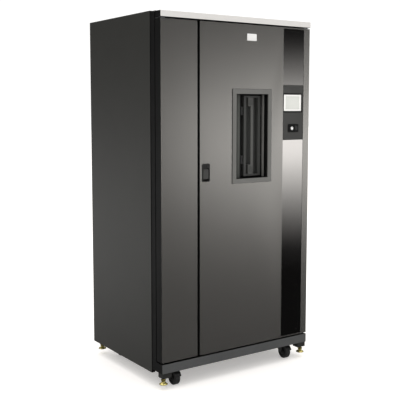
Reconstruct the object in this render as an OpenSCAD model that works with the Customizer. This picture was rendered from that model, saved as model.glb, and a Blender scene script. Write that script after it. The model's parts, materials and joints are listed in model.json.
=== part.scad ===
// Free-standing data tape library: a cabinet on castors with a main door, a
// narrow side leaf, a rear door, a pull-out load port and a four-axis cartridge robot.
// Millimetres. Origin on the floor under the centre of the cabinet, front faces -Y.

/* [Cabinet] */
// Overall width across the side panels
body_w = 972; // [960:1:990]
// Overall depth from the trim to the rear edge of the side panels
body_d = 762; // [756:1:790]
// Overall height from the floor to the top of the side panels
body_h = 1905; // [1895:1:1930]
// Height of the side panels' lower edge above the floor
side_z0 = 72; // [68:1:78]
// Height of the silver trim along the top of the front
trim_h = 30; // [24:1:36]
// Lower edge of the plinth above the floor
plinth_z0 = 90; // [88:1:92]
// Upper edge of the plinth above the floor
plinth_z1 = 138; // [136:1:142]

/* [Doors] */
// Thickness of the front doors
door_t = 52; // [46:1:54]
// Lower edge of the front doors
door_z0 = 146; // [145:1:150]
// Upper edge of the front doors
door_z1 = 1862; // [1850:1:1864]
// Width of the narrow left leaf
leaf_w = 216; // [200:1:222]
// Gap between the two front leaves
leaf_gap = 14; // [8:1:16]
// Sheet thickness of the doors and panels
sheet = 2; // [1.5:0.5:3]

/* [Load port] */
// Width of the window in the main door
port_w = 213; // [210:1:220]
// Height of the window in the main door
port_h = 446; // [440:1:452]
// Width of the bezel around the window
bezel_w = 25; // [16:1:28]
// Depth of the well behind the bezel
well_d = 40; // [38:1:42]
// Number of cartridge cells in the magazine
port_cells = 14; // [10:1:14]
// Number of cells in the magazine that hold a cartridge
port_filled = 10; // [0:1:14]

/* [Operator panel] */
// Width of the glossy strip and of the operator panel
strip_w = 148; // [146:1:152]
// Lower edge of the operator panel
panel_z0 = 1256; // [1240:1:1260]
// Upper edge of the operator panel
panel_z1 = 1551; // [1545:1:1570]

/* [Running gear] */
// Diameter of the castor wheels
wheel_d = 76; // [74:1:77]
// Width of the castor wheels
wheel_w = 32; // [26:1:33]
// Trail of the swivel castors
trail = 40; // [36:1:42]
// Height of the levelling feet above the floor when wound up
foot_z = 28; // [20:1:32]

/* [Storage] */
// Pitch of the cartridge cells in the storage columns
cell_pitch = 32; // [30:1:36]
// Number of cells in a full-height storage column
cells_full = 46; // [30:1:46]
// Number of cells in the columns above the drives
cells_half = 22; // [10:1:22]

/* [Hidden] */
$fn = 48;

hw = body_w / 2;
hd = body_d / 2;
ztr = body_h - 6;             // top of the trim
yface = -hd + 4;              // face of the front doors
ydb = yface + door_t;         // back of the front doors
yfr = -hd + 62;               // front of the uprights
ysp = -hd + 102;              // front edge of the side panels
xgl = -hw + 2 + leaf_w;       // free edge of the narrow leaf
xgr = xgl + leaf_gap;         // free edge of the main door
xmr = hw - 2;                 // hinge edge of the main door
hx = hw - 20;                 // pivot axis of the front doors, from the centre
hy = yface + 26;              // pivot axis of the front doors
px0 = -24; px1 = px0 + port_w;            // window
pz0 = 1056; pz1 = pz0 + port_h;
ywb = yface + well_d;         // front of the well's back plate
dx0 = 58; dx1 = 172;          // load port drawer
dz0 = pz0 + 8; dz1 = pz1 - 8;
ydf = ywb + 1;                // front of the drawer
sx0 = xmr - 41 - strip_w; sx1 = sx0 + strip_w;   // glossy strip
lx = -216.5;                  // centre of the latch
kx = 359; kz = 1317;          // key switch
ys = 74;                      // front of the storage columns
yc = ys - 18;                 // front of the stored cartridges
cz0 = 254;                    // foot of the storage columns
ya = -66;                     // centre of the robot's aisle
px_hand = 50;                 // picker axis at rest
pz_hand = cz0 + 4.2 + 10.75 + 5 + 21 * cell_pitch;
px_mast = px_hand - 150;
cx = 375; cyf = -277; cyr = 250;   // castors
ffx = hw - 24; ffy = -hd + 28;     // front levelling feet
rfx = hw - 36; rfy = hd - 35;      // rear levelling feet
colx = [-90, 50, 195, 345];

// a box from its six faces
module bx(x0, x1, y0, y1, z0, z1) translate([x0, y0, z0]) cube([x1 - x0, y1 - y0, z1 - z0]);

// an upright cylinder between two heights
module cz(x, y, r, z0, z1) translate([x, y, z0]) cylinder(r = r, h = z1 - z0);

// a cylinder along Y
module cyl_y(x, z, r, y0, y1) translate([x, y0, z]) rotate([-90, 0, 0]) cylinder(r = r, h = y1 - y0);

// a cylinder along X
module cyl_x(y, z, r, x0, x1) translate([x0, y, z]) rotate([0, 90, 0]) cylinder(r = r, h = x1 - x0);

// a channel open downwards
module channel(x0, x1, y0, y1, z0, z1, t) difference() {
    bx(x0, x1, y0, y1, z0, z1);
    bx(x0 + t, x1 - t, y0 + t, y1 - t, z0 - 1, z1 - t);
}

// a flat plate in the XZ plane with rounded corners
module round_plate(x0, x1, z0, z1, y0, y1, r) translate([0, y1, 0]) rotate([90, 0, 0]) linear_extrude(y1 - y0) union() {
    translate([x0 + r, z0]) square([x1 - x0 - 2 * r, z1 - z0]);
    translate([x0, z0 + r]) square([x1 - x0, z1 - z0 - 2 * r]);
    for (x = [x0 + r, x1 - r], z = [z0 + r, z1 - r]) translate([x, z]) circle(r = r);
}

module both() { children(); mirror([1, 0, 0]) children(); }

// ---------- cabinet ----------

// a member of the welded base: channels, castor rails, floor pan and foot brackets
module foot_bracket(x0, x1, y0, y1, x, y, z1) difference() {
    union() {
        bx(x0, x1, y0, y1, 64, 93.9);
        cz(x, y, 14, 93, z1);
    }
    cz(x, y, 8.05, 50, 135);
}
module base_frame() color("#2a2a29") {
    difference() {
        channel(-hw + 8, hw - 8, -hd + 9, -hd + 51, plinth_z0 + 4, 129.9, 3);
        for (s = [-1, 1]) cz(s * ffx, ffy, 14.2, 90, 131);
    }
    both() difference() {
        channel(hw - 62, hw - 22, -hd + 51.2, 311.8, plinth_z0 + 4, 129.9, 3);
        for (y = [cyf, cyr]) bx(hw - 63, hw - 21, y - 45.2, y + 45.2, 105.8, 112.2);
    }
    difference() {
        channel(-hw + 22, hw - 22, 312, 352, plinth_z0 + 4, 129.9, 3);
        for (s = [-1, 1]) cz(s * rfx, rfy, 14.2, 90, 131);
    }
    for (y = [cyf, cyr]) difference() {
        bx(-hw + 24, hw - 24, y - 45, y + 45, 106, 112);
        for (s = [-1, 1], dx = [-36, 36], dy = [-28, 28]) cz(s * cx + dx, y + dy, 4.5, 100, 120);
        for (s = [-1, 1]) cz(s * cx, y, 7, 100, 120);
    }
    both() difference() {
        bx(100, 130, -231, 204, 100, 129.8);
        for (y = [-150, 150]) cz(115, y, 6, 90, 140);
    }
    difference() {
        bx(-hw + 20, hw - 20, -hd + 52, 370, 130, 134);
        for (s = [-1, 1], y = [-150, 150]) cz(s * 115, y, 6, 120, 140);
    }
    for (s = [-1, 1]) {
        foot_bracket(s * (hw - 33) - 27, s * (hw - 33) + 27, -hd + 6, -hd + 48, s * ffx, ffy, 129.8);
        foot_bracket(s * (hw - 42) - 20, s * (hw - 42) + 20, 326, 370, s * rfx, rfy, 129.8);
    }
}

module plinth_skirt() color("#4b4c4b") difference() {
    bx(-hw + 2, hw - 2, -hd + 2, ysp - 1.5, plinth_z0, plinth_z1);
    bx(-hw + 5, hw - 5, -hd + 5, ysp + 10, plinth_z0 - 1, plinth_z1 - 3);
    bx(-hw + 30, hw - 30, -hd + 48, ysp + 10, plinth_z0 - 1, plinth_z1 + 1);
    for (s = [-1, 1]) cz(s * hx, hy, 12, plinth_z1 - 5, plinth_z1 + 1);
    bx(-hw + 5, hw - 5, yfr - 0.5, ysp + 10, plinth_z0 - 1, plinth_z1 + 1);
}

// front uprights are stepped so that the side panels lie flush; rear ones are square tubes
module corner_posts() color("#151514") {
    both() difference() {
        linear_extrude(1896 - 138.5, convexity = 4) translate([0, 0]) polygon(points = [
            [hw - 2, yfr], [hw - 56, yfr], [hw - 56, yfr + 69], [hw - 24, yfr + 69], [hw - 24, ysp - 1], [hw - 2, ysp - 1]]);
        translate([0, 0, -1]) linear_extrude(1900, convexity = 4) polygon(points = [
            [hw - 4.5, yfr + 2.5], [hw - 53.5, yfr + 2.5], [hw - 53.5, yfr + 66.5], [hw - 26.5, yfr + 66.5], [hw - 26.5, ysp - 3.5], [hw - 4.5, ysp - 3.5]]);
    }
}
module rear_strike() {
    bx(-hw + 31, -hw + 33.5, 344, 372.5, 990, 1014);
    bx(-hw + 31, -hw + 46, 370, 372.5, 990, 1014);
}
module posts_all() color("#151514") {
    translate([0, 0, 138.5]) corner_posts();
    both() difference() {
        bx(hw - 62, hw - 24, 312, 344, 134, 1896);
        bx(hw - 59.5, hw - 26.5, 314.5, 341.5, 130, 1900);
    }
}

module top_rails() color("#1b1b1a") {
    channel(-hw + 56.5, hw - 56.5, yfr + 1, yfr + 35, 1850, 1896, 2.5);
    both() channel(hw - 58, hw - 28, yfr + 69.5, 311.5, 1850, 1896, 2.5);
    channel(-hw + 62.5, hw - 62.5, 314, 342, 1850, 1896, 2.5);
    difference() {
        bx(-hw + 58.5, hw - 58.5, ya - 30, ya + 30, 1850, 1856);
        for (x = [-300, 0, 300]) cz(x, ya, 4.5, 1840, 1860);
    }
}

module front_mullion() color("#1b1b1a") difference() {
    bx(xgl - 24, xgr + 22, yfr, yfr + 40, 138.5, 1849.5);
    bx(xgl - 21.5, xgr + 19.5, yfr + 2.5, yfr + 37.5, 130, 1860);
}
// flat keeper on the mullion's face, with an edge that the lock's cam turns behind
module front_strike() difference() {
    bx(xgr + 4, lx - 7.2, yfr - 2.4, yfr - 0.2, 1102, 1146);
    for (z = [1110, 1138]) cyl_y(xgr + 12, z, 2.4, yfr - 4, yfr + 2);
}

// folded trays with a return on every edge
module side_tray_left() color("#3c3c38") mirror([1, 0, 0]) difference() {
    bx(hw - 20, hw, ysp, hd, side_z0, body_h);
    bx(hw - 30, hw - sheet, ysp + 2, hd - 2, side_z0 + 2, body_h - 2);
}
module side_tray_right() color("#3c3c38") difference() {
    bx(hw - 20, hw, ysp, hd, side_z0, body_h);
    bx(hw - 30, hw - sheet, ysp + 2, hd - 2, side_z0 + 2, body_h - 2);
}

module roof_panel() color("#222221") difference() {
    union() {
        bx(-hw + 2, hw - 2, -hd + 52, ysp - 1, 1896.5, 1901.5);
        bx(-hw + 21, hw - 21, ysp - 1, hd - 3, 1896.5, 1901.5);
    }
    for (i = [0:11]) for (x = [-240, 60]) bx(x, x + 180, 120 + 14 * i, 126 + 14 * i, 1890, 1905);
}

module top_trim() color("#d9d7d3") difference() {
    bx(-hw, hw, -hd, -hd + 50, ztr - trim_h, ztr);
    bx(-hw + 3, hw - 3, -hd + 3, -hd + 60, ztr - trim_h + 3, ztr - 3);
}

module pivot_low(x, y, z) {
    cz(x, y, 6, z - 0.2, 166);
    cz(x, y, 10, 138.6, 145.4);
}
module pivot_high(x, y) {
    cz(x, y, 6, 1841, 1866);
    bx(x - 14, x + 14, y - 14, yfr - 0.3, 1864.3, 1868.3);
}
module pins_and_strikes() color("#8d8f90") {
    for (s = [-1, 1]) { pivot_low(s * hx, hy, 134.2); pivot_high(s * hx, hy); }
    // rear door pivots
    cz(hw - 46, hd - 14, 5, 134, 170);
    cz(hw - 46, hd - 14, 9, 134, 145);
    cz(hw - 46, hd - 14, 5, 1860, 1896.2);
    cz(hw - 46, hd - 14, 9, 1887, 1896.2);
    rear_strike();
    front_strike();
}

// ---------- storage and drives ----------

module cell_column(xc, z0, n, foot) difference() {
    union() {
        bx(xc - 58, xc + 58, ys, ys + 96, z0, z0 + n * cell_pitch + 4);
        if (foot) for (s = [-1, 1]) bx(xc + s * 56 - 2, xc + s * 56 + 2, ys + 6, ys + 90, 134, z0 + 1);
    }
    for (i = [0:n - 1]) bx(xc - 52.5, xc + 52.5, ys - 1, ys + 90, z0 + 4 + i * cell_pitch, z0 + i * cell_pitch + cell_pitch - 2);
}
function col_z0(k) = k < 2 ? cz0 : cz0 + 24 * cell_pitch;
function col_n(k) = k < 2 ? cells_full : cells_half;

module storage_columns() color("#3a3d40") for (k = [0:3]) cell_column(colx[k], col_z0(k), col_n(k), k < 2);

// half-inch tape cartridge, notched sides, label end towards -Y
module cartridge(xc, y0, z0) difference() {
    bx(xc - 51, xc + 51, y0, y0 + 105.4, z0, z0 + 21.5);
    for (s = [-1, 1]) bx(xc + s * 51 - 2, xc + s * 51 + 2, y0 + 9, y0 + 17, z0 + 6, z0 + 15.5);
}
drive_z = cz0 - 60;           // lowest slot of the drive rack
module tape_cartridges() color("#26282b") {
    for (k = [0:3]) for (i = [0:col_n(k) - 1]) cartridge(colx[k], yc, col_z0(k) + 4.2 + i * cell_pitch);
    for (k = [2, 3], r = [0:5]) cartridge(colx[k], yc, drive_z + 2 + 136 * r + 68.25);
}

module drive_rack() color("#5a5c5e") difference() {
    bx(colx[2] - 77.5, colx[3] + 77.5, ys + 20, 305, 134, col_z0(2) - 0.2);
    for (k = [2, 3], r = [0:5]) bx(colx[k] - 73.7, colx[k] + 73.7, ys, 320, drive_z + 136 * r, drive_z + 136 * r + 132);
    for (k = [2, 3]) bx(colx[k] - 70, colx[k] + 70, ys, 320, 140, 186);
}
module tape_drive(xc, z0) {
    difference() {
        bx(xc - 73, xc + 73, ys + 4, 308, z0, z0 + 128);
        // cartridge mouth towards the robot
        bx(xc - 54, xc + 54, ys + 3, yc + 106.5, z0 + 66, z0 + 92);
        // rear connector panel
        bx(xc - 60, xc + 60, 305, 309, z0 + 30, z0 + 100);
    }
    bx(xc - 6, xc + 6, 304, 308, z0 + 54, z0 + 74);
}
module tape_drives() color("#1d1f21") for (k = [2, 3], r = [0:5]) tape_drive(colx[k], drive_z + 2 + r * 136);

module electronics_tower() color("#4d4f50") difference() {
    bx(-424, -160, ys + 2, 306, 134, 920);
    bx(-421, -163, ys + 5, 310, 160, 917);
    for (i = [0:8]) bx(-390, -194, ys, ys + 10, 620 + 30 * i, 630 + 30 * i);
}
module power_supplies() color("#8a8c8d") {
    for (i = [0:3]) difference() {
        bx(-418, -166, ys + 30, 300, 166 + 92 * i, 166 + 92 * i + 86);
        cyl_y(-360, 166 + 92 * i + 43, 32, 296, 301);
        bx(-300, -256, 290, 301, 166 + 92 * i + 28, 166 + 92 * i + 58);
        for (j = [0:5]) bx(-236, -184, 294, 301, 166 + 92 * i + 14 + 10 * j, 166 + 92 * i + 19 + 10 * j);
    }
    // interface modules above the supplies
    for (i = [0:5]) bx(-414 + 42 * i, -376 + 42 * i, ys + 60, 300, 560, 900);
}
module controller_chassis() color("#6a6c6d") difference() {
    union() {
        bx(-428, -304, -300, -136, 420, 1320);
        bx(-429.8, -428, -312, -136, 400, 1340);
    }
    bx(-424, -308, -301, -296.5, 440, 860);
    for (i = [0:14]) bx(-412, -320, -301, -297, 900 + 26 * i, 912 + 26 * i);
}

// ---------- robot ----------

module robot_rails() color("#b4b6b8") {
    difference() {
        bx(-400, 412, ya - 12, ya + 12, 134, 152);
        for (s = [-1, 1]) bx(-401, 413, ya + s * 12 - 3, ya + s * 12 + 3, 140, 146);
    }
    difference() {
        bx(-400, 412, ya - 12, ya + 12, 1832, 1849.8);
        for (s = [-1, 1]) bx(-401, 413, ya + s * 12 - 3, ya + s * 12 + 3, 1838, 1844);
    }
}
module mast_column() color("#a9abad") difference() {
    bx(px_mast - 30, px_mast + 30, ya - 30, ya + 30, 184, 1800);
    bx(px_mast - 18, px_mast + 18, ya - 18, ya + 18, 180, 1810);
    for (s = [-1, 1]) bx(px_mast + s * 30 - 5, px_mast + s * 30 + 5, ya - 4, ya + 4, 180, 1810);
    for (s = [-1, 1]) bx(px_mast - 4, px_mast + 4, ya + s * 30 - 5, ya + s * 30 + 5, 180, 1810);
}
module mast_trucks() color("#2c2e30") {
    difference() {
        bx(px_mast - 55, px_mast + 55, ya - 30, ya + 30, 136, 183.8);
        bx(px_mast - 56, px_mast + 56, ya - 12.3, ya + 12.3, 130, 152.3);
    }
    difference() {
        bx(px_mast - 55, px_mast + 55, ya - 30, ya + 30, 1800.2, 1848);
        bx(px_mast - 56, px_mast + 56, ya - 12.3, ya + 12.3, 1831.7, 1850);
    }
    // drive motor on the lower truck
    cyl_y(px_mast - 30, 160, 20, ya + 30.2, ya + 88);
}
module lift_carriage() color("#3b3e41") difference() {
    union() {
        bx(px_mast - 44, px_mast + 44, ya - 44, ya + 44, pz_hand - 70, pz_hand + 60);
        bx(px_mast + 40, px_hand + 34, ya - 34, ya + 34, pz_hand - 44, pz_hand - 32);
        bx(px_mast + 40, px_hand - 10, ya - 6, ya + 6, pz_hand - 66, pz_hand - 40);
        cz(px_hand, ya, 26, pz_hand - 80, pz_hand - 36);
    }
    bx(px_mast - 30.5, px_mast + 30.5, ya - 30.5, ya + 30.5, pz_hand - 80, pz_hand + 70);
    cz(px_hand, ya, 10.05, pz_hand - 72, pz_hand - 20);
}
module picker_turntable() color("#a3a6a8") {
    difference() {
        union() {
            cz(px_hand, ya, 10, pz_hand - 70, pz_hand - 30);
            cz(px_hand, ya, 56, pz_hand - 31.5, pz_hand - 25);
            bx(px_hand - 62, px_hand + 62, ya - 78, ya + 58, pz_hand - 25, pz_hand - 21);
            for (s = [-1, 1]) bx(px_hand + s * 60.5 - 1.5, px_hand + s * 60.5 + 1.5, ya - 78, ya + 58, pz_hand - 25, pz_hand + 6);
        }
        bx(px_hand - 8, px_hand + 8, ya - 70, ya + 50, pz_hand - 26, pz_hand - 20);
    }
}
module gripper_block() color("#303336") difference() {
    bx(px_hand - 56, px_hand + 56, ya - 76, ya - 54, pz_hand - 19, pz_hand + 8);
    bx(px_hand - 30, px_hand + 30, ya - 80, ya - 73.5, pz_hand - 12, pz_hand + 1);
    // guide slot for the fingers
    bx(px_hand - 57, px_hand + 57, ya - 58, ya - 53, pz_hand - 10, pz_hand);
}
module gripper_finger(s) color("#b98b2c") {
    bx(px_hand + s * 55.25 - 1.75, px_hand + s * 55.25 + 1.75, ya - 53.7, ya - 22, pz_hand - 14, pz_hand + 4);
    bx(px_hand + s * 53.3 - 1.7, px_hand + s * 53.3 + 1.7, ya - 27, ya - 22, pz_hand - 8, pz_hand - 2);
    // tongue in the guide slot
    bx(px_hand + s * 42.5 - 14.5, px_hand + s * 42.5 + 14.5, ya - 57.6, ya - 53.4, pz_hand - 9.7, pz_hand - 0.3);
}

// ---------- main door ----------

module door_pan(x0, x1) difference() {
    bx(x0, x1, yface, ydb, door_z0, door_z1);
    bx(x0 + sheet, x1 - sheet, yface + sheet, ydb + 1, door_z0 + sheet, door_z1 - sheet);
}
module main_door_skin() color("#8b8883") difference() {
    door_pan(xgr, xmr);
    bx(px0 - 3, px1 + 3, yface - 1, yface + 10, pz0 - 3, pz1 + 3);
    bx(sx0 + 0.5, sx1 - 0.5, yface - 1, yface + 10, door_z0 + 6, door_z1 - 6);
    round_plate(lx - 22, lx + 22, 1054, 1143, yface - 1, yface + 10, 6);
    cz(hx, hy, 9, door_z0 - 1, door_z0 + 5);
    cz(hx, hy, 9, door_z1 - 5, door_z1 + 1);
}
module hinge_block(z0, z1, zb) difference() {
    bx(hx - 21, hx + 12, hy - 13, ydb - 2, z0, z1);
    cz(hx, hy, 6.05, zb, zb + 22);
}
module main_door_frame() color("#2b2b2a") {
    hinge_block(door_z0 + 2.2, door_z0 + 30, door_z0);
    hinge_block(door_z1 - 30, door_z1 - 2.2, door_z1 - 22);
    door_liner();
}
module door_liner() difference() {
    union() {
        // inner liner
        bx(xgr + 3, xmr - 3, ydb - 4, ydb - 2, door_z0 + 4, door_z1 - 4);
        // perimeter and stiffening hats between skin and liner
        for (x = [xgr + 3, -70, 215, sx0 - 26, xmr - 40]) bx(x, x + 22, yface + 6.5, ydb - 3, door_z0 + 4, door_z1 - 4);
        for (z = [door_z0 + 4, 700, door_z1 - 26]) bx(xgr + 3, xmr - 3, yface + 6.5, ydb - 3, z, z + 22);
    }
    for (x = [xgr + 3, -70, 215, sx0 - 26, xmr - 40]) bx(x + 3, x + 19, yface + 9.5, ydb, door_z0 + 8, door_z1 - 8);
    bx(px0 - 8, px1 + 8, yface - 1, ydb + 1, pz0 - 8, pz1 + 8);
    bx(lx - 24, lx + 24, yface - 1, ydb + 1, 1048, 1150);
    bx(sx0 - 4, sx1 + 3, yface - 1, ydb - 4.1, panel_z0 - 4, panel_z1 + 6);
    for (z = [door_z0, door_z1 - 30]) bx(hx - 16, hx + 15, hy - 16, ydb + 1, z, z + 32);
}
module gloss_strips() color("#0b0b0c") {
    bx(sx0 + 1, sx1 - 1, yface + 1, yface + 6, panel_z1 + 2, door_z1 - 6.5);
    bx(sx0 + 1, sx1 - 1, yface + 1, yface + 6, door_z0 + 6.5, panel_z0 - 2);
}
module panel_housing() color("#3a3a38") difference() {
    bx(sx0 + 1, sx1 - 1, yface + 0.5, yface + 40, panel_z0, panel_z1);
    bx(sx0 + 4, sx1 - 4, yface + 5, yface + 41, panel_z0 + 4, panel_z1 - 4);
    bx(sx0 + 2.5, sx0 + 139.5, yface - 1, yface + 12, 1404, 1508);
    cyl_y(kx, kz, 12, yface - 1, yface + 12);
    bx(378, 401, yface - 1, yface + 12, 1303, 1333);
}
module lcd_bezel() color("#0d0d0d") difference() {
    bx(sx0 + 2.8, sx0 + 139.2, yface - 0.5, yface + 10, 1404.3, 1507.7);
    bx(sx0 + 6.5, sx0 + 132.5, yface - 1, yface + 11, 1411.5, 1501.5);
}
module lcd_screen() color("#e4e6e2") bx(sx0 + 6.8, sx0 + 132.2, yface + 1.5, yface + 7, 1411.8, 1501.2);
module key_plate() color("#101010") difference() {
    round_plate(332, 407, 1296, 1340, yface - 2, yface + 0.3, 3);
    cyl_y(kx, kz, 9.05, yface - 3, yface + 12);
    bx(379, 400, yface - 3, yface + 12, 1304, 1332);
}
module port_bezel() color("#6f706e") difference() {
    union() {
        bx(px0 - bezel_w, px1 + bezel_w - 1, -hd, yface - 0.05, pz0 - bezel_w + 2, pz1 + bezel_w);
        bx(px0 - 2.8, px1 + 2.8, -hd, yface + 1.9, pz0 - 2.8, pz1 + 2.8);
    }
    bx(px0, px1, -hd - 1, yface + 5, pz0, pz1);
}
module port_housing() color("#1c1c1b") {
    difference() {
        union() {
            bx(px0 - 2, px1 + 2, yface + 2.1, ywb + 2, pz0 - 2, pz1 + 2);
            bx(36, px1 + 2, ywb + 1, -195, pz0 - 2, pz1 + 2);
        }
        bx(px0, px1, yface, ywb, pz0, pz1);
        bx(38, px1, yface, -190, pz0, pz1);
    }
}
module drawer_slides() color("#9c9ea0") for (z = [1130, 1390]) {
    difference() {
        bx(38, dx0 - 2, ywb + 2, -200, z, z + 45);
        bx(dx0 - 7, dx0, ywb + 1, -198, z + 8, z + 37);
    }
    difference() {
        bx(dx1 + 2.5, px1, ywb + 2, -200, z, z + 45);
        bx(dx1 + 1, dx1 + 8, ywb + 1, -198, z + 8, z + 37);
    }
}
module latch_dish() color("#121212") difference() {
    union() {
        round_plate(lx - 24, lx + 24, 1052, 1145, yface - 1.8, yface - 0.1, 8);
        round_plate(lx - 21.7, lx + 21.7, 1054.3, 1142.7, yface - 0.2, yface + 22, 6);
    }
    round_plate(lx - 18, lx + 18, 1057, 1120.5, yface - 3, yface + 18, 3);
    cyl_y(lx, 1131.5, 9.05, yface - 3, yface + 23);
}
module badge_plate() color("#d8d8d6") round_plate(45, 108, 1779, 1815, yface - 1.6, yface - 0.05, 3);
// ---------- load port drawer ----------

module drawer_front() color("#454644") union() {
    difference() {
        bx(dx0, dx1, ydf, ydf + 28, dz0, dz1);
        bx(dx0 + 16, dx1 - 19, ydf - 1, ydf + 25, dz0 + 10, dz1 - 10);
    }
    // runners
    for (z = [1130, 1390]) {
        bx(dx0 - 5, dx0 - 1.7, ydf + 21, -206, z + 10, z + 35);
        bx(dx0 - 2, dx0 + 1.3, ydf + 21, -206, z + 10, z + 35);
        bx(dx1 - 1.5, dx1 + 2.2, ydf + 21, -206, z + 10, z + 35);
        bx(dx1 + 2, dx1 + 6, ydf + 21, -206, z + 10, z + 35);
    }
}
module drawer_handle() color("#50514f") {
    bx(dx0 + 47, dx0 + 65, ydf + 0.2, ydf + 9, dz0 + 10, dz1 - 10);
    bx(dx0 + 30, dx0 + 65, ydf + 0.2, ydf + 25, dz1 - 56, dz1 - 10);
    bx(dx0 + 30, dx0 + 65, ydf + 0.2, ydf + 25, dz0 + 10, dz0 + 61);
}
ymf = ydf + 28;     // front of the magazine
ymc = -2 * 66 - yc; // label ends of the cartridges in the magazine
xmc = dx0 + 55.2;   // centre of the magazine
module drawer_magazine() color("#2f3133") {
    bx(dx0 + 1.6, dx0 + 3.6, ymf, ymc - 18, dz0 + 1, dz1 - 1);
    bx(dx0 + 1.6, dx1 - 4, ymf, ymf + 2, dz0 + 1, dz1 - 1);
    for (i = [0:port_cells]) bx(dx0 + 1.6, dx1 - 4, ymf, ymc - 18, dz0 + 2 + 30 * i, dz0 + 4.4 + 30 * i);
}
module drawer_cartridges() color("#26282b") if (port_filled > 0)
    for (i = [0:min(port_filled, port_cells) - 1]) mirror([0, 1, 0])
        cartridge(xmc, -ymc, dz0 + 4.6 + 30 * i);

// ---------- latch, key and button ----------

module latch_paddle() color("#1f1f1f") union() {
    round_plate(lx - 16, lx + 16, 1066, 1117, yface - 0.6, yface + 4, 3);
    cyl_x(yface + 6, 1109, 5, lx - 17.6, lx + 17.6);
    bx(lx - 12, lx + 12, yface + 3.5, yface + 8, 1090, 1109);
}
module lock_cylinder() color("#6c6c6a") {
    difference() {
        cyl_y(lx, 1131.5, 9, yface - 2.5, yfr - 8.2);
        bx(lx - 1.2, lx + 1.2, yface - 3, yface + 2, 1126, 1137);
    }
    cyl_y(lx, 1131.5, 5.8, yfr - 8.4, yfr + 0.8);
    bx(lx - 5.8, lx + 5.8, yfr + 0.6, yfr + 3.8, 1118, 1137.3);
}
module key_core() color("#e2e2e0") difference() {
    union() {
        cyl_y(kx, kz, 9, yface - 3, yface + 14);
        cyl_y(kx, kz, 7, yface - 4, yface - 3);
    }
    bx(kx - 1, kx + 1, yface - 5, yface + 1, kz - 5, kz + 5);
}
module standby_button() color("#2a2a2a") round_plate(380, 399, 1305, 1331, yface - 3.6, yface + 4.5, 2);

// ---------- narrow leaf ----------

module side_door_skin() color("#8b8883") difference() {
    door_pan(-xmr, xgl);
    cz(-hx, hy, 9, door_z0 - 1, door_z0 + 5);
    cz(-hx, hy, 9, door_z1 - 5, door_z1 + 1);
}
module side_door_frame() color("#2b2b2a") difference() {
    union() {
        bx(-xmr + 3, xgl - 3, ydb - 4, ydb - 2, door_z0 + 4, door_z1 - 4);
        for (x = [-xmr + 18, xgl - 25]) bx(x, x + 22, yface + 3, ydb - 3, door_z0 + 4, door_z1 - 4);
        for (z = [door_z0 + 2.2, door_z1 - 28]) bx(-hx - 12, -hx + 16, hy - 13, ydb - 3, z, z + 25.8);
    }
    for (x = [-xmr + 18, xgl - 25]) bx(x + 3, x + 19, yface + 6, ydb, door_z0 + 34, door_z1 - 34);
    cz(-hx, hy, 6.05, door_z0, door_z0 + 22);
    cz(-hx, hy, 6.05, door_z1 - 23, door_z1);
}

// ---------- rear door ----------

module rear_door() color("#2b2c2b") difference() {
    union() {
        difference() {
            bx(-hw + 28, hw - 28, hd - 25, hd - 3, 146, 1884);
            bx(-hw + 30, hw - 30, hd - 26, hd - 5, 148, 1882);
        }
        bx(hw - 56, hw - 34, hd - 24, hd - 4, 147, 172);
        bx(hw - 56, hw - 34, hd - 24, hd - 4, 1858, 1883);
    }
    for (j = [0:39]) for (x = [-400, -130, 140]) bx(x, x + 250, hd - 8, hd, 260 + 38 * j, 278 + 38 * j);
    cz(hw - 46, hd - 14, 5.05, 140, 171);
    cz(hw - 46, hd - 14, 5.05, 1859, 1890);
    cyl_y(-hw + 60, 1000, 12.05, hd - 10, hd);
}
module rear_latch() color("#1a1a1a") {
    cyl_y(-hw + 60, 1000, 12, hd - 12, hd - 1);
    bx(-hw + 57, -hw + 63, hd - 2, hd, 991, 1009);
    bx(-hw + 54, -hw + 66, hd - 16, hd - 12, 976, 1006);
}

// ---------- castors and feet ----------

// fixed top plates with kingpins; the rear castors do not swivel
module castor_plate(x, y) difference() {
    bx(x - 46, x + 46, y - 38, y + 38, 102, 106);
    for (dx = [-36, 36], dy = [-28, 28]) cz(x + dx, y + dy, 4.5, 100, 110);
}
module fork(x, y, t) {

    for (s = [-1, 1]) difference() {
        translate([x + s * 20.5 - 1.5, y, 0]) rotate([90, 0, 90]) linear_extrude(3) union() {
            polygon(points = [[-24, 88], [26, 88], [20, 74], [-t + 11, 31], [-t - 11, 31], [-max(t + 11, 15), 44]]);
            translate([-t, wheel_d / 2]) circle(r = 12);
        }
        cyl_x(y - t, wheel_d / 2, 4.1, x - 30, x + 30);
    }
    difference() {
        bx(x - 22, x + 22, y - 24, y + 26, 84, 90);
        cz(x, y, 6.05, 80, 95);
    }
    cyl_x(y - t, wheel_d / 2, 4, x - 24, x + 24);
}
module castor_plates() color("#232323") {
    for (s = [-1, 1]) {
        difference() {
            union() {
                castor_plate(s * cx, cyf);
                cz(s * cx, cyf, 18, 97, 102);
                cz(s * cx, cyf, 6, 80, 102.5);
                cz(s * cx, cyf, 11, 78.5, 83);
            }
        }
        union() {
            castor_plate(s * cx, cyr);
            bx(s * cx - 22, s * cx + 22, cyr - 24, cyr + 26, 88, 102.5);
            fork(s * cx, cyr, 0);
        }
    }
}
module swivel_fork(x) color("#1c1c1c") {
    fork(x, cyf, trail);
    difference() { cz(x, cyf, 24, 89.5, 96.7); cz(x, cyf, 6.05, 85, 100); }
}
module castor_wheel(x, y) color("#141414") translate([x, y, wheel_d / 2]) rotate([0, 90, 0]) rotate_extrude($fn = 64) union() {
    polygon(points = [[4.05, -18.5], [9, -18.5], [9, -11], [26, -11], [26, -wheel_w / 2], [wheel_d / 2 - 4, -wheel_w / 2],
        [wheel_d / 2, -wheel_w / 2 + 5], [wheel_d / 2, wheel_w / 2 - 5], [wheel_d / 2 - 4, wheel_w / 2], [26, wheel_w / 2],
        [26, 11], [9, 11], [9, 18.5], [4.05, 18.5]]);
}
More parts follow.
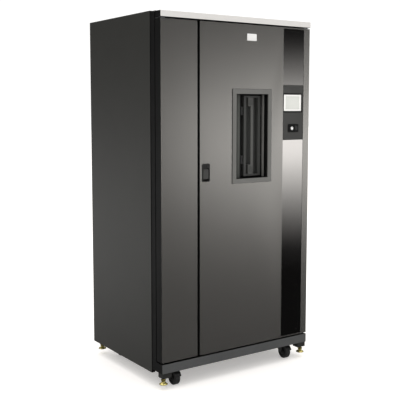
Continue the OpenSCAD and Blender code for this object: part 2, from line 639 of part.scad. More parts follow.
// levelling foot: a swivel glide on a threaded stud with a jam nut
module foot(x, y) color("#a08a3c") {
    translate([x, y, 0]) rotate_extrude() polygon(points = [[0, foot_z], [21, foot_z], [22, foot_z + 1], [22, foot_z + 4],
        [9, foot_z + 12], [8, foot_z + 15], [8, foot_z + 96], [6.5, foot_z + 98], [0, foot_z + 98]]);
    translate([x, y, foot_z + 16]) difference() { cylinder(r = 13, h = 8, $fn = 6); translate([0, 0, -1]) cylinder(r = 8.2, h = 10); }
}

base_frame();
plinth_skirt();
posts_all();  // corner_posts
top_rails();
front_mullion();
side_tray_left();  // side_panel_left
side_tray_right();  // side_panel_right
roof_panel();
top_trim();
pins_and_strikes();
storage_columns();
tape_cartridges();
drive_rack();
tape_drives();
robot_rails();
electronics_tower();
power_supplies();
controller_chassis();
castor_plates();
main_door_skin();
main_door_frame();
gloss_strips();
panel_housing();
lcd_bezel();
lcd_screen();
key_plate();
port_bezel();
port_housing();
drawer_slides();
latch_dish();
badge_plate();
drawer_front();
drawer_handle();
drawer_magazine();
drawer_cartridges();
latch_paddle();
lock_cylinder();
key_core();
standby_button();
side_door_skin();
side_door_frame();
rear_door();
rear_latch();
mast_column();
mast_trucks();
lift_carriage();
picker_turntable();
gripper_block();
gripper_finger(-1);  // gripper_finger_left
gripper_finger(1);  // gripper_finger_right
swivel_fork(-cx);  // castor_fork_fl
swivel_fork(cx);  // castor_fork_fr
castor_wheel(-cx, cyf - trail);  // castor_wheel_fl
castor_wheel(cx, cyf - trail);  // castor_wheel_fr
castor_wheel(-cx, cyr);  // castor_wheel_rl
castor_wheel(cx, cyr);  // castor_wheel_rr
foot(-ffx, ffy);  // foot_fl
foot(ffx, ffy);  // foot_fr
foot(-rfx, rfy);  // foot_rl
foot(rfx, rfy);  // foot_rr
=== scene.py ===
"""Looks of a free-standing data tape library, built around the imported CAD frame."""
import json
import math
import random

import bmesh
import bpy
import numpy as np
from mathutils import Matrix, Vector

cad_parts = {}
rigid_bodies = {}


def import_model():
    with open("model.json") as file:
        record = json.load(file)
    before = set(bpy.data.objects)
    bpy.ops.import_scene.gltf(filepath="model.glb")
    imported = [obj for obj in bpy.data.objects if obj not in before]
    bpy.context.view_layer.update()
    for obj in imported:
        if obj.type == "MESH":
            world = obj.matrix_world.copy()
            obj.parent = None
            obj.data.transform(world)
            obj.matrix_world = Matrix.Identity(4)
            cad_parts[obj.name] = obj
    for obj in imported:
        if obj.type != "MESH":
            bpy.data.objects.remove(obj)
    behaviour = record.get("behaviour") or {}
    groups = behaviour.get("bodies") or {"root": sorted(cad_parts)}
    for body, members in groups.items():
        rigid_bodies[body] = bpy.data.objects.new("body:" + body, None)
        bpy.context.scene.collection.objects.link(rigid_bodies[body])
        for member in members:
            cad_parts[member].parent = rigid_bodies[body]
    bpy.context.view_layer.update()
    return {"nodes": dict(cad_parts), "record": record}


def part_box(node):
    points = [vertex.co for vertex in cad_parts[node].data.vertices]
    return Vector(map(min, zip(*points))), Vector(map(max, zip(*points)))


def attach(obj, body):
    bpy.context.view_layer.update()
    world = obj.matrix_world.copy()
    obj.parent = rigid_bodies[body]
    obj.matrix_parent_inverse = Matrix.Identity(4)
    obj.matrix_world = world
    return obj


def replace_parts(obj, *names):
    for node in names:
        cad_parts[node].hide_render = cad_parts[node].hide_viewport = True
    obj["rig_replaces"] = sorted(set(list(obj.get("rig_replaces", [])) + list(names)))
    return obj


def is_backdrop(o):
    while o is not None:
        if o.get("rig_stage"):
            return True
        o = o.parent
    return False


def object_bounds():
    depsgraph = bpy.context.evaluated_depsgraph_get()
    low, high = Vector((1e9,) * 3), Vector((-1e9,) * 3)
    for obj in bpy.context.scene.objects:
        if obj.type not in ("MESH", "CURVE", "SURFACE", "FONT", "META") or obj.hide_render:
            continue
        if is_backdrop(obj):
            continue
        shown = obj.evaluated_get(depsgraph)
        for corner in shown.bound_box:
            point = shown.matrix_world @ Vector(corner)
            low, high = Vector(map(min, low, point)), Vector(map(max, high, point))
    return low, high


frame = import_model()
NODES = frame["nodes"]
BODY = {n: b for b, ns in frame["record"]["behaviour"]["bodies"].items() for n in ns}
scene = bpy.context.scene
scene.view_settings.view_transform = "Standard"
scene.view_settings.look = "None"
MM = 0.001
rad = math.radians


# ------------------------------------------------------------------ camera
cam_data = bpy.data.cameras.new("camera")
cam = bpy.data.objects.new("camera", cam_data)
scene.collection.objects.link(cam)
cam_data.sensor_width = 36.0
cam_data.lens = 68.30
cam_data.shift_y = -0.045
cam_data.clip_start, cam_data.clip_end = 0.1, 200.0
cam.location = (-2.4283, -3.5476, 1.4287)
_az, _pitch = rad(34.452), rad(5.574)
look = Vector((math.sin(_az) * math.cos(_pitch), math.cos(_az) * math.cos(_pitch), -math.sin(_pitch)))
cam.rotation_mode = "QUATERNION"
cam.rotation_quaternion = look.to_track_quat("-Z", "Y")
scene.camera = cam


# ------------------------------------------------------------------ node helpers
class Tree:
    """A short way to write a node tree."""

    def __init__(self, tree):
        self.t = tree
        self.t.nodes.clear()

    def n(self, kind, **values):
        node = self.t.nodes.new(kind)
        for k, v in values.items():
            setattr(node, k, v)
        return node

    def link(self, a, b):
        self.t.links.new(a, b)

    def put(self, socket, value):
        if hasattr(value, "is_output"):
            self.link(value, socket)
        else:
            socket.default_value = value

    def math(self, op, a, b=0.0, c=None, clamp=False):
        m = self.n("ShaderNodeMath", operation=op, use_clamp=clamp)
        self.put(m.inputs[0], a)
        self.put(m.inputs[1], b)
        if c is not None:
            self.put(m.inputs[2], c)
        return m.outputs[0]

    def smooth(self, v, lo, hi, a=0.0, b=1.0):
        m = self.n("ShaderNodeMapRange", interpolation_type="SMOOTHSTEP")
        self.put(m.inputs["Value"], v)
        m.inputs["From Min"].default_value, m.inputs["From Max"].default_value = lo, hi
        m.inputs["To Min"].default_value, m.inputs["To Max"].default_value = a, b
        return m.outputs["Result"]

    def ramp(self, v, stops, mode="LINEAR"):
        r = self.n("ShaderNodeValToRGB")
        r.color_ramp.interpolation = mode
        el = r.color_ramp.elements
        while len(el) > 1:
            el.remove(el[-1])
        el[0].position, c = stops[0]
        el[0].color = c if len(c) == 4 else (*c, 1)
        for p, c in stops[1:]:
            e = el.new(p)
            e.color = c if len(c) == 4 else (*c, 1)
        self.put(r.inputs["Fac"], v)
        return r.outputs["Color"]

    def noise(self, vec, scale, detail=2.0, rough=0.5, distortion=0.0):
        x = self.n("ShaderNodeTexNoise")
        self.put(x.inputs["Vector"], vec)
        x.inputs["Scale"].default_value = scale
        x.inputs["Detail"].default_value = detail
        x.inputs["Roughness"].default_value = rough
        x.inputs["Distortion"].default_value = distortion
        return x.outputs["Fac"]

    def mix(self, f, a, b, blend="MIX"):
        m = self.n("ShaderNodeMix", data_type="RGBA", blend_type=blend)
        self.put(m.inputs[0], f)
        self.put(m.inputs[6], a if hasattr(a, "is_output") or len(a) == 4 else (*a, 1))
        self.put(m.inputs[7], b if hasattr(b, "is_output") or len(b) == 4 else (*b, 1))
        return m.outputs[2]


def grey(v):
    return (v, v, v)


# ------------------------------------------------------------------ world and light
ELEV = [(6.7, 0.010), (6.0, 0.016), (5.3, 0.027), (4.6, 0.077), (3.9, 0.187), (3.2, 0.336), (2.5, 0.525),
        (1.8, 0.76), (1.0, 1.08), (0.3, 1.50), (-0.4, 1.95), (-1.1, 2.35), (-1.8, 2.58), (-2.55, 2.70),
        (-3.3, 2.54), (-4.0, 2.23), (-4.7, 1.80), (-5.45, 1.44), (-6.2, 1.08), (-6.9, 0.78), (-7.6, 0.56),
        (-8.3, 0.36), (-9.1, 0.20), (-9.8, 0.093), (-10.5, 0.03), (-12.0, 0.009)]
PEAK = 2.75
world = bpy.data.worlds.new("studio")
scene.world = world
world.use_nodes = True
w = Tree(world.node_tree)
tc = w.n("ShaderNodeTexCoord")
sep = w.n("ShaderNodeSeparateXYZ")
w.link(tc.outputs["Generated"], sep.inputs[0])
zed = sep.outputs["Z"]
elev = w.math("MULTIPLY", w.math("ARCSINE", zed), 180 / math.pi)
phi = w.math("MULTIPLY", w.math("ARCTAN2", sep.outputs["X"], w.math("MULTIPLY", sep.outputs["Y"], -1.0)), 180 / math.pi)
band = w.ramp(w.math("DIVIDE", w.math("ADD", elev, 15.0), 25.0),
              [((e + 15) / 25, grey(v / PEAK)) for e, v in reversed(ELEV)])
band = w.math("MULTIPLY", band, PEAK)
right = w.math("MULTIPLY", w.smooth(phi, 31.0, 36.0), w.smooth(phi, 100, 130, 1, 0))
left = w.math("MULTIPLY", w.smooth(phi, -80, -55), w.smooth(phi, 14, 26, 1, 0))
az_front = w.math("ADD", right, w.math("MULTIPLY", left, 0.75))
back_band = w.math("MULTIPLY", w.smooth(elev, -20, -10), w.smooth(elev, -9, 2, 1, 0))
az_back = w.smooth(w.math("ABSOLUTE", phi), 118, 140)
sky = w.smooth(zed, 0.30, 0.75, 0.0, 1.1)
low = w.smooth(zed, -0.95, -0.55, 0.40, 0.004)
gloss = w.math("ADD", w.math("MULTIPLY", band, az_front), w.math("MULTIPLY", w.math("MULTIPLY", back_band, az_back), 1.0))
gloss = w.math("ADD", w.math("ADD", gloss, sky), low)
diffuse = w.smooth(zed, -0.2, 0.9, 0.88, 1.28)
lp = w.n("ShaderNodeLightPath")
level = w.math("ADD", w.math("MULTIPLY", lp.outputs["Is Glossy Ray"], gloss),
               w.math("MULTIPLY", w.math("SUBTRACT", 1.0, lp.outputs["Is Glossy Ray"]), diffuse))
level = w.math("ADD", w.math("MULTIPLY", lp.outputs["Is Camera Ray"], 1.1),
               w.math("MULTIPLY", w.math("SUBTRACT", 1.0, lp.outputs["Is Camera Ray"]), level))
bg = w.n("ShaderNodeBackground")
bg.inputs["Color"].default_value = (1.0, 0.995, 0.985, 1)
w.link(level, bg.inputs["Strength"])
wo = w.n("ShaderNodeOutputWorld")
w.link(bg.outputs[0], wo.inputs[0])
world.cycles.sampling_method = "NONE"


def area(name, loc, target, size, power, spec=0.0):
    data = bpy.data.lights.new(name, "AREA")
    data.shape = "RECTANGLE"
    data.size, data.size_y = size
    data.energy = power
    data.specular_factor = spec
    o = bpy.data.objects.new(name, data)
    o.location = loc
    o.rotation_mode = "QUATERNION"
    o.rotation_quaternion = (Vector(target) - Vector(loc)).to_track_quat("-Z", "Y")
    scene.collection.objects.link(o)
    return o


area("overhead", (-0.2, -0.2, 4.6), (0.0, -0.1, 0.0), (4.2, 4.2), 70, 0.0)

floor_me = bpy.data.meshes.new("floor")
floor_me.from_pydata([(-40, -40, 0), (40, -40, 0), (40, 40, 0), (-40, 40, 0)], [], [(0, 1, 2, 3)])
floor = bpy.data.objects.new("floor", floor_me)
scene.collection.objects.link(floor)
fm = bpy.data.materials.new("pale_floor")
fm.use_nodes = True
f = Tree(fm.node_tree)
fd = f.n("ShaderNodeBsdfDiffuse")
fd.inputs["Color"].default_value = (0.80, 0.785, 0.77, 1)
fe = f.n("ShaderNodeEmission")
fe.inputs["Color"].default_value = (1.0, 0.98, 0.96, 1)
fe.inputs["Strength"].default_value = 0.36
fa = f.n("ShaderNodeAddShader")
fo = f.n("ShaderNodeOutputMaterial")
f.link(fd.outputs[0], fa.inputs[0])
f.link(fe.outputs[0], fa.inputs[1])
f.link(fa.outputs[0], fo.inputs[0])
floor_me.materials.append(fm)
floor.visible_glossy = False
floor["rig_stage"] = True


# ------------------------------------------------------------------ materials
def surface(name, base, rough, metal=0.0, ior=1.5, spec=0.5, coat=0.0, coat_rough=0.1, vary=0.12, vary_scale=9.0,
            grain=700.0, grain_depth=0.00004, grain_strength=0.25, rough_vary=0.06, fleck=0.0, fleck_scale=2600.0,
            brushed=None, smudge=0.0, tint=None, emit=0.0):
    """A procedural finish: slow colour drift, fine grain in height and roughness, optional metal flecks or brushing."""
    m = bpy.data.materials.new(name)
    m.use_nodes = True
    t = Tree(m.node_tree)
    out = t.n("ShaderNodeOutputMaterial")
    b = t.n("ShaderNodeBsdfPrincipled")
    t.link(b.outputs[0], out.inputs[0])
    co = t.n("ShaderNodeTexCoord").outputs["Object"]
    slow = t.noise(co, vary_scale, 4.0, 0.6, 0.3)
    fine = t.noise(co, grain, 2.0, 0.6)
    dark = tuple(c * (1 - vary) for c in base)
    lite = tuple(min(1.0, c * (1 + vary)) for c in (tint or base))
    col = t.mix(t.smooth(slow, 0.3, 0.7), dark, lite)
    col = t.mix(t.smooth(fine, 0.25, 0.75, 0.0, 0.5), col, tuple(min(1.0, c * (1 + vary * 1.4)) for c in base))
    if fleck:
        dots = t.n("ShaderNodeTexVoronoi", feature="F1")
        t.put(dots.inputs["Vector"], co)
        dots.inputs["Scale"].default_value = fleck_scale
        col = t.mix(t.smooth(dots.outputs["Distance"], 0.05, 0.45, fleck, 0.0), col, tuple(min(1.0, c * 1.9) for c in base))
    if brushed is not None:
        mp = t.n("ShaderNodeMapping")
        mp.inputs["Scale"].default_value = brushed
        t.link(co, mp.inputs["Vector"])
        line = t.noise(mp.outputs[0], 40.0, 3.0, 0.65)
        col = t.mix(t.smooth(line, 0.3, 0.7, 0.0, 0.35), col, tuple(c * 0.72 for c in base))
        fine = t.math("ADD", t.math("MULTIPLY", fine, 0.25), t.math("MULTIPLY", line, 0.9))
    t.link(col, b.inputs["Base Color"])
    r = t.smooth(fine, 0.2, 0.8, max(0.02, rough - rough_vary), min(1.0, rough + rough_vary))
    if smudge:
        wipe = t.noise(co, 5.5, 5.0, 0.7, 1.2)
        r = t.math("ADD", r, t.smooth(wipe, 0.55, 0.8, 0.0, smudge))
    t.link(r, b.inputs["Roughness"])
    b.inputs["Metallic"].default_value = metal
    b.inputs["IOR"].default_value = ior
    b.inputs["Specular IOR Level"].default_value = spec
    b.inputs["Coat Weight"].default_value = coat
    b.inputs["Coat Roughness"].default_value = coat_rough
    if emit:
        t.link(col, b.inputs["Emission Color"])
        b.inputs["Emission Strength"].default_value = emit
    if grain_strength:
        bump = t.n("ShaderNodeBump")
        bump.inputs["Strength"].default_value = grain_strength
        bump.inputs["Distance"].default_value = grain_depth
        t.link(fine, bump.inputs["Height"])
        t.link(bump.outputs[0], b.inputs["Normal"])
    return m


M = {
    "frame_black": surface("frame_black", (0.016, 0.016, 0.015), 0.42, grain=520, grain_depth=0.00005),
    "panel_grey": surface("panel_grey", (0.0245, 0.0245, 0.0222), 0.40, ior=1.5, vary=0.05, grain=480, grain_depth=0.00005, grain_strength=0.18, rough_vary=0.04),
    "door_metal": surface("door_metal", (0.270, 0.262, 0.249), 0.235, metal=0.88, vary=0.018, vary_scale=5, grain=900, grain_depth=0.00001,
                          grain_strength=0.008, rough_vary=0.003, fleck=0.02, smudge=0.010),
    "door_black": surface("door_black", (0.012, 0.012, 0.012), 0.45, grain=420),
    "plinth_grey": surface("plinth_grey", (0.058, 0.060, 0.061), 0.38, vary=0.07, grain=480, grain_depth=0.00005, grain_strength=0.2),
    "trim_silver": surface("trim_silver", (0.56, 0.55, 0.535), 0.42, vary=0.02, grain=900, grain_depth=0.00002, grain_strength=0.1, fleck=0.2),
    "gloss_black": surface("gloss_black", (0.300, 0.290, 0.280), 0.055, metal=1.0, vary=0.015, vary_scale=3, grain=60, grain_depth=0.00001,
                           grain_strength=0.02, rough_vary=0.01, smudge=0.03),
    "panel_matte": surface("panel_matte", (0.040, 0.040, 0.038), 0.52, vary=0.06, grain=900, grain_depth=0.00008, grain_strength=0.35),
    "bezel_grey": surface("bezel_grey", (0.120, 0.120, 0.114), 0.42, vary=0.05, grain=900, grain_depth=0.00005, grain_strength=0.25),
    "trim_black": surface("trim_black", (0.008, 0.008, 0.008), 0.36, grain=900, grain_depth=0.00004),
    "screen": surface("screen", (0.60, 0.61, 0.58), 0.30, vary=0.012, vary_scale=14, grain=2400, grain_depth=0.00001, grain_strength=0.05),
    "drawer_grey": surface("drawer_grey", (0.042, 0.043, 0.041), 0.45, vary=0.05, grain=800, grain_depth=0.00005, grain_strength=0.3),
    "cell_plastic": surface("cell_plastic", (0.036, 0.039, 0.043), 0.46, grain=800, grain_depth=0.00005),
    "cartridge_black": surface("cartridge_black", (0.017, 0.018, 0.020), 0.40, grain=1100, grain_depth=0.00006),
    "drive_black": surface("drive_black", (0.015, 0.016, 0.018), 0.40, grain=800),
    "zinc_steel": surface("zinc_steel", (0.50, 0.51, 0.52), 0.34, metal=1.0, vary=0.08, vary_scale=40, brushed=(1, 1, 0.06), grain_strength=0.12),
    "bare_aluminium": surface("bare_aluminium", (0.62, 0.63, 0.64), 0.36, metal=1.0, vary=0.03, brushed=(1, 1, 0.03), grain_strength=0.10),
    "dark_aluminium": surface("dark_aluminium", (0.055, 0.060, 0.066), 0.40, metal=0.4, vary=0.05),
    "finger_bronze": surface("finger_bronze", (0.52, 0.36, 0.13), 0.34, metal=1.0, vary=0.06, brushed=(1, 0.1, 1), grain_strength=0.12),
    # near-zero black: the finish of black parts such as the screen frame and key plate, and painted shade on faces in
    # gaps, recesses and undersides
    "black_and_painted_gap_shade": surface("black_and_painted_gap_shade", (0.0035, 0.0035, 0.0035), 0.5, spec=0.25, grain=600, vary=0.3),
    "screen_rim": surface("screen_rim", (0.80, 0.80, 0.78), 0.30, vary=0.01, grain=1500, grain_depth=0.00001, grain_strength=0.05),
    "dull_steel": surface("dull_steel", (0.13, 0.13, 0.13), 0.42, metal=0.9, vary=0.10, vary_scale=30, brushed=(1, 1, 0.05), grain_strength=0.1),
    "lock_nickel": surface("lock_nickel", (0.80, 0.80, 0.78), 0.22, metal=1.0, vary=0.02, grain_strength=0.05, grain=1200),
    "castor_black": surface("castor_black", (0.011, 0.011, 0.011), 0.34, grain=500),
    "castor_tread": surface("castor_tread", (0.012, 0.012, 0.012), 0.55, grain=1300, grain_depth=0.00008, grain_strength=0.4, vary=0.2, vary_scale=60),
    "yellow_zinc": surface("yellow_zinc", (0.66, 0.60, 0.22), 0.28, metal=0.9, vary=0.14, vary_scale=55, tint=(0.66, 0.52, 0.20), grain_strength=0.08),
    "badge_plain": surface("badge_plain", (0.83, 0.83, 0.82), 0.34, metal=0.2, vary=0.01, brushed=(0.04, 1, 1), grain_strength=0.06),
}
SLOT_OF = {s["node"]: s["material_slot"] for s in frame["record"]["subparts"]}


# ------------------------------------------------------------------ mesh helpers
def link(name, mesh, body, slot, mat=None, smooth=38):
    mesh.materials.clear()
    mesh.materials.append(mat or M[slot])
    mesh.shade_smooth()
    mesh.set_sharp_from_angle(angle=rad(smooth))
    o = bpy.data.objects.new(name, mesh)
    scene.collection.objects.link(o)
    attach(o, body)
    return o


def flat_normals(o):
    """Wide faces keep their own normal and the rounded edges blend into them."""
    mod = o.modifiers.new("even_normals", "WEIGHTED_NORMAL")
    mod.mode = "FACE_AREA"
    mod.weight = 50
    mod.keep_sharp = True


KEEP_TRIANGLES = {"panel_housing"}


def drawn_area(bm):
    """The area of the triangles a renderer would draw: a badly merged face shows up here."""
    return sum((b.vert.co - a.vert.co).cross(c.vert.co - a.vert.co).length for a, b, c in bm.calc_loop_triangles()) / 2


def torn(mesh, width, segs, by_weight, angle):
    """True when rounding this mesh's edges would fold a flat face over itself."""
    o = bpy.data.objects.new("probe", mesh)
    bpy.context.scene.collection.objects.link(o)
    round_edges(o, width, segs, by_weight, angle)
    ev = o.evaluated_get(bpy.context.evaluated_depsgraph_get())
    me = ev.to_mesh()
    me.calc_loop_triangles()
    nt = len(me.loop_triangles)
    tri, own = np.zeros(nt * 3, np.float32), np.zeros(nt, np.int32)
    me.loop_triangles.foreach_get("normal", tri)
    me.loop_triangles.foreach_get("polygon_index", own)
    area = np.zeros(nt, np.float32)
    me.loop_triangles.foreach_get("area", area)
    face = np.zeros(len(me.polygons) * 3, np.float32)
    me.polygons.foreach_get("normal", face)
    dot = (tri.reshape(-1, 3) * face.reshape(-1, 3)[own]).sum(1)
    bad = float(area[dot < 0].sum()) > 2e-7
    ev.to_mesh_clear()
    bpy.data.objects.remove(o)
    return bad


def round_edges(o, width, segs, by_weight, angle):
    mod = o.modifiers.new("round", "BEVEL")
    mod.width = width * MM
    mod.segments = segs
    mod.limit_method = "WEIGHT" if by_weight else "ANGLE"
    mod.angle_limit = rad(angle)
    mod.use_clamp_overlap = True
    mod.miter_outer = "MITER_ARC"


def clean_copy(node, merge=True):
    """The CAD node's mesh as a welded bmesh with its flat faces merged."""
    bm = bmesh.new()
    bm.from_mesh(NODES[node].data)
    bmesh.ops.remove_doubles(bm, verts=bm.verts[:], dist=3e-6)
    want = drawn_area(bm)
    if merge and node not in KEEP_TRIANGLES:
        bmesh.ops.dissolve_limit(bm, angle_limit=rad(0.6), verts=bm.verts[:], edges=bm.edges[:], use_dissolve_boundaries=False)
        if abs(drawn_area(bm) - want) > 2e-4 * want:
            bm.free()
            bm = bmesh.new()
            bm.from_mesh(NODES[node].data)
            bmesh.ops.remove_doubles(bm, verts=bm.verts[:], dist=3e-6)
    bmesh.ops.recalc_face_normals(bm, faces=bm.faces[:])
    return bm


def refined(node, width=0.5, segs=2, weight=None, angle=28, name=None, slot=None):
    """Stands for a CAD node: the same solid with its edges rounded by width mm, or by weight(edge middle, length) mm."""
    for step in range(3):
        bm = clean_copy(node, step == 0)
        mesh = bpy.data.meshes.new(name or node + "_fine")
        if weight:
            layer = bm.edges.layers.float.new("bevel_weight_edge")
            for e in bm.edges:
                if len(e.link_faces) == 2 and e.calc_face_angle(0) > rad(angle):
                    mid = (e.verts[0].co + e.verts[1].co) / 2 * 1000
                    e[layer] = min(1.0, max(0.0, weight(mid, (e.verts[0].co - e.verts[1].co) * 1000) / width))
        bm.to_mesh(mesh)
        bm.free()
        if step == 2 or not torn(mesh, width, segs, bool(weight), angle):
            break
        bpy.data.meshes.remove(mesh)
    o = link(name or node + "_fine", mesh, BODY[node], slot or SLOT_OF[node])
    if step < 2:
        round_edges(o, width, segs, bool(weight), angle)
    flat_normals(o)
    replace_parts(o, node)
    return o


class Kit:
    """Collects simple solids, in millimetres, into one mesh."""

    def __init__(self):
        self.v, self.f = [], []

    def add(self, bm, matrix=None):
        base = len(self.v)
        bm.verts.index_update()
        for v in bm.verts:
            self.v.append(tuple((matrix @ v.co) if matrix else v.co))
        for fc in bm.faces:
            self.f.append([base + v.index for v in fc.verts])
        bm.free()
        return self

    def box(self, x0, x1, y0, y1, z0, z1, r=0.0, seg=2, matrix=None):
        bm = bmesh.new()
        bmesh.ops.create_cube(bm, size=1.0)
        for v in bm.verts:
            v.co = Vector(((x0 + x1) / 2 + v.co.x * (x1 - x0), (y0 + y1) / 2 + v.co.y * (y1 - y0), (z0 + z1) / 2 + v.co.z * (z1 - z0)))
        if r:
            bmesh.ops.bevel(bm, geom=bm.edges[:], offset=r, offset_type="OFFSET", segments=seg, profile=0.5, affect="EDGES", clamp_overlap=True)
        return self.add(bm, matrix)

    def prism(self, pts, a, b, axis="y", r=0.0, seg=2, matrix=None):
        """A plate from a 2-D outline, from a to b along an axis. Outline axes: y -> (x, z), x -> (y, z), z -> (x, y)."""
        put = {"y": lambda p, t: (p[0], t, p[1]), "x": lambda p, t: (t, p[0], p[1]), "z": lambda p, t: (p[0], p[1], t)}[axis]
        bm = bmesh.new()
        lo = [bm.verts.new(put(p, a)) for p in pts]
        hi = [bm.verts.new(put(p, b)) for p in pts]
        bm.faces.new(lo)
        bm.faces.new(hi[::-1])
        n = len(pts)
        for i in range(n):
            bm.faces.new((lo[i], hi[i], hi[(i + 1) % n], lo[(i + 1) % n]))
        bmesh.ops.recalc_face_normals(bm, faces=bm.faces[:])
        if r:
            rim = [e for e in bm.edges if e.calc_face_angle(0) > rad(50)]
            bmesh.ops.bevel(bm, geom=rim, offset=r, offset_type="OFFSET", segments=seg, profile=0.5, affect="EDGES", clamp_overlap=True)
        return self.add(bm, matrix)

    def lathe(self, prof, centre=(0, 0, 0), axis="z", seg=40, matrix=None):
        """A turned solid from (radius, height) points along an axis through centre."""
        bm = bmesh.new()
        rings = []
        for r, h in prof:
            ring = []
            k = 1 if r < 1e-6 else seg
            for i in range(k):
                a = 2 * math.pi * i / seg
                u, v = r * math.cos(a), r * math.sin(a)
                p = {"z": (u, v, h), "y": (u, h, v), "x": (h, u, v)}[axis]
                ring.append(bm.verts.new((p[0] + centre[0], p[1] + centre[1], p[2] + centre[2])))
            rings.append(ring)
        for a, b in zip(rings, rings[1:]):
            if len(a) == 1 and len(b) == 1:
                continue
            for i in range(seg):
                j = (i + 1) % seg
                if len(a) == 1:
                    bm.faces.new((a[0], b[j], b[i]))
                elif len(b) == 1:
                    bm.faces.new((a[i], a[j], b[0]))
                else:
                    bm.faces.new((a[i], a[j], b[j], b[i]))
        first, last = rings[0], rings[-1]
        if len(first) > 1 and len(last) > 1 and prof[0] != prof[-1]:
            bm.faces.new(first[::-1])
            bm.faces.new(last)
        elif len(first) > 1 and len(last) == 1:
            bm.faces.new(first[::-1])
        elif len(last) > 1 and len(first) == 1:
            bm.faces.new(last)
        bmesh.ops.remove_doubles(bm, verts=bm.verts[:], dist=1e-5)
        bmesh.ops.recalc_face_normals(bm, faces=bm.faces[:])
        return self.add(bm, matrix)

    def hexagon(self, x, y, z, axis, across, h, chamfer=0.8, hole=0.0):
        """A nut or bolt head, its base at the given point, rising along +axis or, with h negative, -axis."""
        R = across / 2 / math.cos(math.pi / 6)
        s = 1 if h > 0 else -1
        h = abs(h)
        bm = bmesh.new()
        rows = [(R - chamfer, 0), (R, chamfer * 0.5), (R, h - chamfer * 0.5), (R - chamfer, h)]
        rings = []
        for r, t in rows:
            rings.append([bm.verts.new((r * math.cos(math.pi / 3 * i), r * math.sin(math.pi / 3 * i), t)) for i in range(6)])
        for a, b in zip(rings, rings[1:]):
            for i in range(6):
                bm.faces.new((a[i], a[(i + 1) % 6], b[(i + 1) % 6], b[i]))
        bm.faces.new(rings[0][::-1])
        bm.faces.new(rings[-1])
        bmesh.ops.recalc_face_normals(bm, faces=bm.faces[:])
        rot = {"z": Matrix.Identity(3), "y": Matrix.Rotation(rad(-90), 3, "X"), "x": Matrix.Rotation(rad(90), 3, "Y")}[axis]
        if s < 0:
            rot = rot @ Matrix.Rotation(math.pi, 3, "X")
        return self.add(bm, Matrix.Translation((x, y, z)) @ rot.to_4x4())

    def pan_screw(self, x, y, z, axis="y", sign=-1, r=4.0, h=2.2):
        """A pan-head screw with a round socket; the head rises from the point along sign * axis."""
        d = h
        prof = [(r, 0), (r, d * 0.45), (r * 0.92, d * 0.78), (r * 0.72, d * 0.97), (r * 0.46, d), (r * 0.42, d * 0.98), (r * 0.42, d * 0.35), (0, d * 0.3)]
        prof = [(a, sign * b) for a, b in prof]
        return self.lathe(prof, (x, y, z), axis, 18)

    def obj(self, name, body, slot, stands_for=(), smooth=38, mat=None):
        mesh = bpy.data.meshes.new(name)
        mesh.from_pydata([tuple(c * MM for c in v) for v in self.v], [], self.f)
        mesh.validate()
        mesh.update()
        o = link(name, mesh, body, slot, mat, smooth)
        if stands_for:
            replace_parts(o, *stands_for)
        return o


def arc(cx, cy, r, a0, a1, n=8):
    return [(cx + r * math.cos(rad(a0 + (a1 - a0) * i / n)), cy + r * math.sin(rad(a0 + (a1 - a0) * i / n))) for i in range(n + 1)]


def rrect(x0, x1, z0, z1, r, n=6):
    return (arc(x1 - r, z0 + r, r, -90, 0, n) + arc(x1 - r, z1 - r, r, 0, 90, n)
            + arc(x0 + r, z1 - r, r, 90, 180, n) + arc(x0 + r, z0 + r, r, 180, 270, n))


# ------------------------------------------------------------------ two-finish pieces
def second_finish(o, mat, test):
    """Gives the faces that pass test(normal, centre in mm) another finish."""
    o.data.materials.append(mat if hasattr(mat, "node_tree") else M[mat])
    for p in o.data.polygons:
        if test(p.normal, p.center * 1000):
            p.material_index = 1


# doors: satin face; the folded returns and the inner faces take the near-zero black, their black finish darkened into
# painted shade for the gaps between the leaves
for node, inner in (("main_door_skin", 1), ("side_door_skin", 1)):
    o = refined(node, 1.6, 3, weight=lambda m, d: 1.6 if m.y < -374.5 else 0.3)
    second_finish(o, "black_and_painted_gap_shade", lambda n, c: abs(n.y) < 0.5 or c.y > -370)
# trim and plinth: their ends, the trim's underside and the faces behind the front take the near-zero black, painted
# shade under them and in the gaps
o = refined("top_trim", 1.2, 3, weight=lambda m, d: 1.2 if m.y < -379 else 0.4)
second_finish(o, "black_and_painted_gap_shade", lambda n, c: abs(n.x) > 0.7 or n.z < -0.7 or c.y > -377)
o = refined("plinth_skirt", 1.5, 3, weight=lambda m, d: 1.5 if m.y < -377 else 0.4)
second_finish(o, "black_and_painted_gap_shade", lambda n, c: abs(n.x) > 0.7 or c.y > -375)
# side panels, mullion and corner posts: the faces at the front take the near-zero black, painted shade in the gaps
# round the doors
for side in ("side_panel_left", "side_panel_right"):
    o = refined(side, 1.4, 3)
    second_finish(o, "black_and_painted_gap_shade", lambda n, c: n.y < -0.7)
o = refined("front_mullion", 1.0, 2)
second_finish(o, "black_and_painted_gap_shade", lambda n, c: n.y < -0.5)
o = refined("corner_posts", 1.0, 2)
second_finish(o, "black_and_painted_gap_shade", lambda n, c: c.y < -200)

# ------------------------------------------------------------------ load port
o = refined("port_bezel", 1.8, 3)
k = Kit()
# painted shadow: a ring of black strips round the bezel stands in for the shade at its edge
for a, b, c, d in ((-50.2, 214.2, 1031.8, 1528.2),):
    for x0, x1, z0, z1 in ((a, a + 1.6, c, d), (b - 1.6, b, c, d), (a, b, c, c + 1.6), (a, b, d - 1.6, d)):
        k.box(x0, x1, -378.6, -376.6, z0, z1, 0.3)
k.obj("port_bezel_painted_shadow", "main_door", "trim_black", mat=M["black_and_painted_gap_shade"])
# painted shade: the well round the drawer takes the near-zero black, standing in for the shade inside the recess
refined("port_housing", 0.8, 2, slot="trim_black", name="port_well_painted_shade").data.materials[0] = M["black_and_painted_gap_shade"]
k = Kit()
